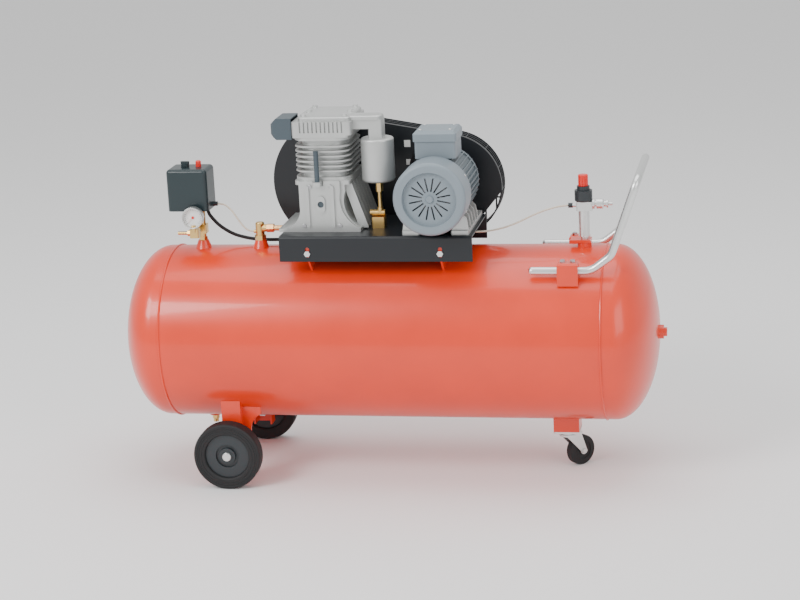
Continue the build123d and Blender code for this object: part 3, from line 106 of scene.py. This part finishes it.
# a finish with slight cloudy wear in its colour and gloss, and a fine surface grain
def makeFinish(name, colour, rough, grain, depth, metal=0, coat=0):
    material = bpy.data.materials.new(name)
    material.use_nodes = True
    tree = material.node_tree
    shader = tree.nodes["Principled BSDF"]
    place = tree.nodes.new("ShaderNodeTexCoord")
    cloud = tree.nodes.new("ShaderNodeTexNoise")
    cloud.inputs["Scale"].default_value = 7
    cloud.inputs["Detail"].default_value = 5
    tree.links.new(place.outputs["Object"], cloud.inputs["Vector"])
    shade = tree.nodes.new("ShaderNodeMix")
    shade.data_type = "RGBA"
    shade.inputs[6].default_value = (*[c * 0.88 for c in colour], 1)
    shade.inputs[7].default_value = (*[min(1, c * 1.12) for c in colour], 1)
    tree.links.new(cloud.outputs["Fac"], shade.inputs[0])
    tree.links.new(shade.outputs[2], shader.inputs["Base Color"])
    gloss = tree.nodes.new("ShaderNodeMapRange")
    gloss.inputs["To Min"].default_value = rough * 0.85
    gloss.inputs["To Max"].default_value = rough * 1.2
    tree.links.new(cloud.outputs["Fac"], gloss.inputs["Value"])
    tree.links.new(gloss.outputs["Result"], shader.inputs["Roughness"])
    fine = tree.nodes.new("ShaderNodeTexNoise")
    fine.inputs["Scale"].default_value = grain
    fine.inputs["Detail"].default_value = 3
    tree.links.new(place.outputs["Object"], fine.inputs["Vector"])
    bump = tree.nodes.new("ShaderNodeBump")
    bump.inputs["Strength"].default_value = depth
    bump.inputs["Distance"].default_value = 0.002
    tree.links.new(fine.outputs["Fac"], bump.inputs["Height"])
    tree.links.new(bump.outputs["Normal"], shader.inputs["Normal"])
    shader.inputs["Metallic"].default_value = metal
    shader.inputs["Coat Weight"].default_value = coat
    shader.inputs["Coat Roughness"].default_value = 0.08
    return material


materials = {name: makeFinish(name, **look) for name, look in finishes.items()}

wears = {
    "redPaint": (
        "tank_shell", "tank_heads", "threaded_bosses", "wheel_legs", "caster_pad", "handle_clamps",
        "plate_saddles",
    ),
    "blackPaint": ("base_plate", "belt_guard_panel", "belt_guard_grille"),
    "motorGrey": ("motor_housing",),
    "coverGrey": ("fan_cover", "terminal_box"),
    "castAluminium": (
        "crankcase", "crankcase_cover", "cylinder_block", "cylinder_head", "discharge_manifold",
        "aftercooler", "motor_feet", "connecting_rods", "pistons",
    ),
    "castIron": ("flywheel", "motor_pulley"),
    "steel": ("crankshaft", "bearings", "stator", "motor_rotor"),
    "zinc": (
        "stub_axles", "caster_plate", "caster_fork", "hex_bolts", "handle_tube", "coupler_body",
        "coupler_sleeve", "outlet_riser",
    ),
    "brass": ("cooler_fittings", "check_valve", "switch_manifold", "drain_cock", "drain_knob"),
    "copper": ("delivery_pipe",),
    "rubber": ("tyre_front", "tyre_rear", "caster_wheel", "drive_belts", "motor_lead"),
    "hubPlastic": ("wheel_hub_front", "wheel_hub_rear", "regulator_body", "tube_fittings"),
    "switchPlastic": ("switch_case", "switch_knob", "gauge_case"),
    "filterPlastic": ("air_filter", "breather_tube"),
    "signalRed": ("stop_button", "regulator_knob", "gauge_needle"),
    "paleTube": ("thin_tubes",),
}
for finish, names in wears.items():
    for name in names:
        nodes[name].data.materials.clear()
        nodes[name].data.materials.append(materials[finish])
print("finishes")


# names the active piece, fixes its place in its mesh and fastens it to a body
def settle(name, finish, body="chassis"):
    piece = bpy.context.object
    piece.name = name
    piece.data.name = name
    bpy.ops.object.transform_apply(location=True, rotation=True, scale=True)
    piece.data.materials.clear()
    piece.data.materials.append(materials[finish])
    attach(piece, body)
    return piece


def bevelPiece(piece, width, segments=2):
    bevel = piece.modifiers.new("edge", "BEVEL")
    bevel.width = width
    bevel.segments = segments
    bpy.ops.object.modifier_apply(modifier="edge")


def smooth(piece):
    bpy.ops.object.shade_smooth_by_angle(angle=radians(35))


# weld beads where the heads meet the shell
weld = {"seam": 0.628, "radius": 0.2503, "bead": 0.0032}
for side in (-1, 1):
    bpy.ops.mesh.primitive_torus_add(
        major_radius=weld["radius"], minor_radius=weld["bead"], major_segments=192, minor_segments=10,
        location=(side * weld["seam"], 0, 0.41), rotation=(0, pi / 2, 0),
    )
    bead = settle("weldBead" + ("Left" if side < 0 else "Right"), "redPaint")
    smooth(bead)
print("weld beads")

# rings moulded in the side walls of the tyres
tyre = {"x": -0.452, "z": 0.098, "ringBead": 0.0014, "rings": (0.075, 0.083, 0.089)}
for side, body in ((-1, "wheel_front"), (1, "wheel_rear")):
    low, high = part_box("tyre_front" if side < 0 else "tyre_rear")
    face = low[1] if side < 0 else high[1]
    for number, radius in enumerate(tyre["rings"]):
        bpy.ops.mesh.primitive_torus_add(
            major_radius=radius, minor_radius=tyre["ringBead"], major_segments=96, minor_segments=8,
            location=(tyre["x"], face, tyre["z"]), rotation=(pi / 2, 0, 0),
        )
        ring = settle("tyreRing" + ("Front" if side < 0 else "Rear") + str(number), "rubber", body)
        smooth(ring)
print("tyre rings")

# gauge: case with a recessed face, dial with marks, stem
gauge = {"x": -0.552, "z": 0.764, "front": -0.084, "radius": 0.031, "depth": 0.024, "wall": 0.003}
bpy.ops.mesh.primitive_cylinder_add(
    vertices=96, radius=gauge["radius"], depth=gauge["depth"], rotation=(pi / 2, 0, 0),
    location=(gauge["x"], gauge["front"] + gauge["depth"] / 2, gauge["z"]),
)
gaugeShell = settle("gaugeShell", "zinc")
bpy.ops.object.mode_set(mode="EDIT")
bpy.ops.mesh.select_mode(type="FACE")
bpy.ops.mesh.select_all(action="DESELECT")
bpy.ops.object.mode_set(mode="OBJECT")
for face in gaugeShell.data.polygons:
    face.select = face.normal.y < -0.9
bpy.ops.object.mode_set(mode="EDIT")
bpy.ops.mesh.inset(thickness=gauge["wall"])
bpy.ops.mesh.extrude_region_move(TRANSFORM_OT_translate={"value": (0, 0.013, 0)})
bpy.ops.object.mode_set(mode="OBJECT")
bevelPiece(gaugeShell, 0.0008)
smooth(gaugeShell)
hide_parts("gauge_case")
bpy.ops.mesh.primitive_cylinder_add(
    vertices=96, radius=gauge["radius"] - gauge["wall"], depth=0.001, rotation=(pi / 2, 0, 0),
    location=(gauge["x"], gauge["front"] + 0.0126, gauge["z"]),
)
settle("gaugeDial", "plateWhite")
for mark in range(21):
    angle = radians(225 - 270 * mark / 20)
    long = 0.0055 if mark % 5 == 0 else 0.003
    bpy.ops.mesh.primitive_cube_add(
        size=1, scale=(long, 0.0004, 0.0008), rotation=(0, -angle, 0),
        location=(
            gauge["x"] + 0.0235 * cos(angle), gauge["front"] + 0.012, gauge["z"] + 0.0235 * sin(angle)
        ),
    )
    settle("gaugeMark" + str(mark), "inkBlack")
bpy.ops.mesh.primitive_cylinder_add(
    vertices=32, radius=0.007, depth=0.02, location=(gauge["x"], -0.070, 0.731)
)
settle("gaugeStem", "brass")
print("gauge")

# blank plates on the guard, and the oil window
plates = {
    "guardPlateUpper": {"place": (0.05, 0.1117, 0.938), "size": (0.018, 0.0006, 0.02)},
    "guardPlateLower": {"place": (0.053, 0.1117, 0.884), "size": (0.016, 0.0006, 0.016)},
}
for name, plate in plates.items():
    bpy.ops.mesh.primitive_cube_add(size=1, location=plate["place"], scale=plate["size"])
    settle(name, "plateWhite")
bpy.ops.mesh.primitive_cylinder_add(
    vertices=48, radius=0.009, depth=0.004, rotation=(pi / 2, 0, 0), location=(-0.16, -0.1205, 0.812)
)
settle("oilWindow", "filterPlastic")
print("plates")

# bolts that hold the handle clamps down
for side in (-1, 1):
    for along in (-0.014, 0.014):
        bpy.ops.mesh.primitive_cylinder_add(
            vertices=6, radius=0.008, depth=0.007, location=(0.536 + along, side * 0.163, 0.6575)
        )
        bolt = settle("clampBolt" + str(side) + str(along)[:4].replace(".", ""), "steel")
        bevelPiece(bolt, 0.0006, 1)
print("clamp bolts")

# small screws and bolts: pump cover, terminal box lid, fan cover
fanScrewAngles = (30, 150, 210, 330)
fanAxis = {"x": 0.17, "z": 0.848, "radius": 0.1015}
screws = {
    "coverBolt": {
        "places": (
            (-0.212, -0.1225, 0.75), (-0.108, -0.1225, 0.75), (-0.19, -0.1225, 0.862), (-0.13, -0.1225, 0.862)
        ),
        "radius": 0.0065, "sides": 6, "turn": (pi / 2, 0, 0), "finish": "steel",
    },
    "lidScrew": {
        "places": [(0.172 + x, -0.07 + y, 1.0185) for x in (-0.042, 0.042) for y in (-0.038, 0.038)],
        "radius": 0.0045, "sides": 32, "turn": (0, 0, 0), "finish": "zinc",
    },
    "fanScrew": {
        "places": [
            (
                fanAxis["x"] + fanAxis["radius"] * cos(radians(angle)),
                -0.155,
                fanAxis["z"] + fanAxis["radius"] * sin(radians(angle)),
            )
            for angle in fanScrewAngles
        ],
        "radius": 0.004, "sides": 24, "turn": (0, 0, 0), "finish": "zinc",
    },
}
for name, screw in screws.items():
    for number, place in enumerate(screw["places"]):
        turn = screw["turn"]
        if name == "fanScrew":
            turn = (0, pi / 2 - radians(fanScrewAngles[number]), 0)
        bpy.ops.mesh.primitive_cylinder_add(
            vertices=screw["sides"], radius=screw["radius"], depth=0.004, location=place, rotation=turn
        )
        piece = settle(name + str(number), screw["finish"])
        bevelPiece(piece, 0.0006)
print("screws")

# pale studio: floor, soft key from the upper left, fill from the right, light from above
bpy.ops.mesh.primitive_plane_add(size=60)
floor = bpy.context.object
floor.name = "floor"
floorMaterial = bpy.data.materials.new("floorPaint")
floorMaterial.use_nodes = True
floorMaterial.node_tree.nodes["Principled BSDF"].inputs["Base Color"].default_value = (0.85, 0.85, 0.85, 1)
floorMaterial.node_tree.nodes["Principled BSDF"].inputs["Roughness"].default_value = 0.9
floor.data.materials.append(floorMaterial)
floor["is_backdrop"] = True
lamps = {
    "key": {"place": (-3.2, -4.0, 4.2), "size": 2.4, "power": 250},
    "fill": {"place": (3.8, -3.2, 2.6), "size": 3.0, "power": 70},
    "top": {"place": (0.2, 0.4, 4.2), "size": 3.5, "power": 90},
}
for name, lamp in lamps.items():
    bpy.ops.object.light_add(type="AREA", location=lamp["place"])
    light = bpy.context.object
    light.name = name
    light.data.size = lamp["size"]
    light.data.energy = lamp["power"]
    light.rotation_euler = (Vector((0, 0, 0.5)) - Vector(lamp["place"])).to_track_quat("-Z", "Y").to_euler()
world = bpy.data.worlds.new("studio")
bpy.context.scene.world = world
world.use_nodes = True
world.node_tree.nodes["Background"].inputs["Color"].default_value = (0.8, 0.8, 0.8, 1)
world.node_tree.nodes["Background"].inputs["Strength"].default_value = 1.15
print("studio")

low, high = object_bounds()
